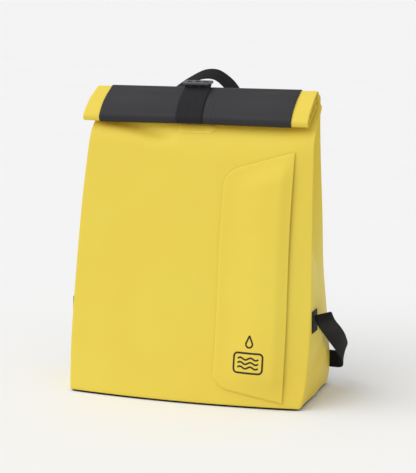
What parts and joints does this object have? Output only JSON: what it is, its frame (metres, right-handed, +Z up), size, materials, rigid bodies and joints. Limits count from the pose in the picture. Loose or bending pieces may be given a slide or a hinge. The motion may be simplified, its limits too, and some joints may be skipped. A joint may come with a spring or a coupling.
{
  "type": "roll-top backpack",
  "caption": "Roll-top backpack usable as a motorcycle tail bag, with hook strap, flat front pocket, grab handle and padded shoulder straps.",
  "frame": {"origin": "centre of the base rectangle, on the ground the bag stands on", "axes": "+X to the wearer's right as the front face is looked at, +Y from the front face towards the wearer's back, +Z up"},
  "size_m": [0.3804, 0.1897, 0.4398],
  "materials": {
    "yellow_fabric": "satin",
    "dark_cover": "matte",
    "black_fabric": "matte",
    "webbing": "matte",
    "grey_plastic": "satin",
    "black_plastic": "satin",
    "foam_board": "matte"
  },
  "bodies": {
    "bag": {"front_panel": "yellow_fabric", "back_panel": "yellow_fabric", "gusset_left": "yellow_fabric", "gusset_right": "yellow_fabric", "base_panel": "black_fabric", "base_board": "foam_board", "back_board": "foam_board", "back_pad": "black_fabric", "yoke_patch": "black_fabric", "seat_patch": "yellow_fabric", "rear_strap": "webbing", "pocket_panel": "yellow_fabric", "zip_tape": "black_fabric", "zip_stop_top": "black_plastic", "zip_stop_bottom": "black_plastic", "lower_webbing_left": "webbing", "lower_webbing_right": "webbing", "anchor_patch_left": "black_fabric", "anchor_patch_right": "black_fabric"},
    "roll": {"roll_outer_wrap": "yellow_fabric", "roll_inner_wrap": "yellow_fabric", "lip_stiffener": "black_plastic", "roll_cover": "dark_cover", "strap_root": "webbing"},
    "strap": {"closure_strap": "webbing", "closure_buckle": "grey_plastic"},
    "handle": {"grab_handle": "webbing"},
    "shoulder_left": {"shoulder_strap_left": "black_fabric", "lock_loop_left": "webbing"},
    "shoulder_right": {"shoulder_strap_right": "black_fabric", "lock_loop_right": "webbing"},
    "lock_left": {"ladder_lock_left": "black_plastic"},
    "lock_right": {"ladder_lock_right": "black_plastic"},
    "slider": {"zip_slider": "black_plastic"},
    "puller": {"zip_puller": "black_plastic"}
  },
  "joints": [
    {"name": "roll_unfold", "type": "hinge", "parent": "bag", "child": "roll", "pos_m": [0, 0.03, 0.4168], "axis": [-1, 0, 0], "range_deg": [0, 120]},
    {"name": "strap_release", "type": "hinge", "parent": "roll", "child": "strap", "pos_m": [-0.007, -0.022, 0.3798], "axis": [1, 0, 0], "range_deg": [0, 190]},
    {"name": "handle_swing", "type": "hinge", "parent": "bag", "child": "handle", "pos_m": [-0.01, 0.0422, 0.3889], "axis": [-1, 0, 0], "range_deg": [0, 75]},
    {"name": "shoulder_left_swing", "type": "hinge", "parent": "bag", "child": "shoulder_left", "pos_m": [-0.048, 0.046, 0.382], "axis": [1, 0, 0], "range_deg": [0, 20]},
    {"name": "shoulder_right_swing", "type": "hinge", "parent": "bag", "child": "shoulder_right", "pos_m": [0.048, 0.046, 0.382], "axis": [1, 0, 0], "range_deg": [0, 20]},
    {"name": "lock_left_tilt", "type": "hinge", "parent": "shoulder_left", "child": "lock_left", "pos_m": [-0.092, 0.0859, 0.089], "axis": [1, 0, 0], "range_deg": [0, 30]},
    {"name": "lock_right_tilt", "type": "hinge", "parent": "shoulder_right", "child": "lock_right", "pos_m": [0.092, 0.0859, 0.089], "axis": [1, 0, 0], "range_deg": [0, 30]},
    {"name": "zip_slide", "type": "slide", "parent": "bag", "child": "slider", "axis": [0, -0.1651, -0.9863], "range_m": [0, 0.232]},
    {"name": "puller_swing", "type": "hinge", "parent": "slider", "child": "puller", "pos_m": [0.123, -0.03203, 0.29095], "axis": [0, 0.9863, -0.1651], "range_deg": [0, 70]}
  ]
}
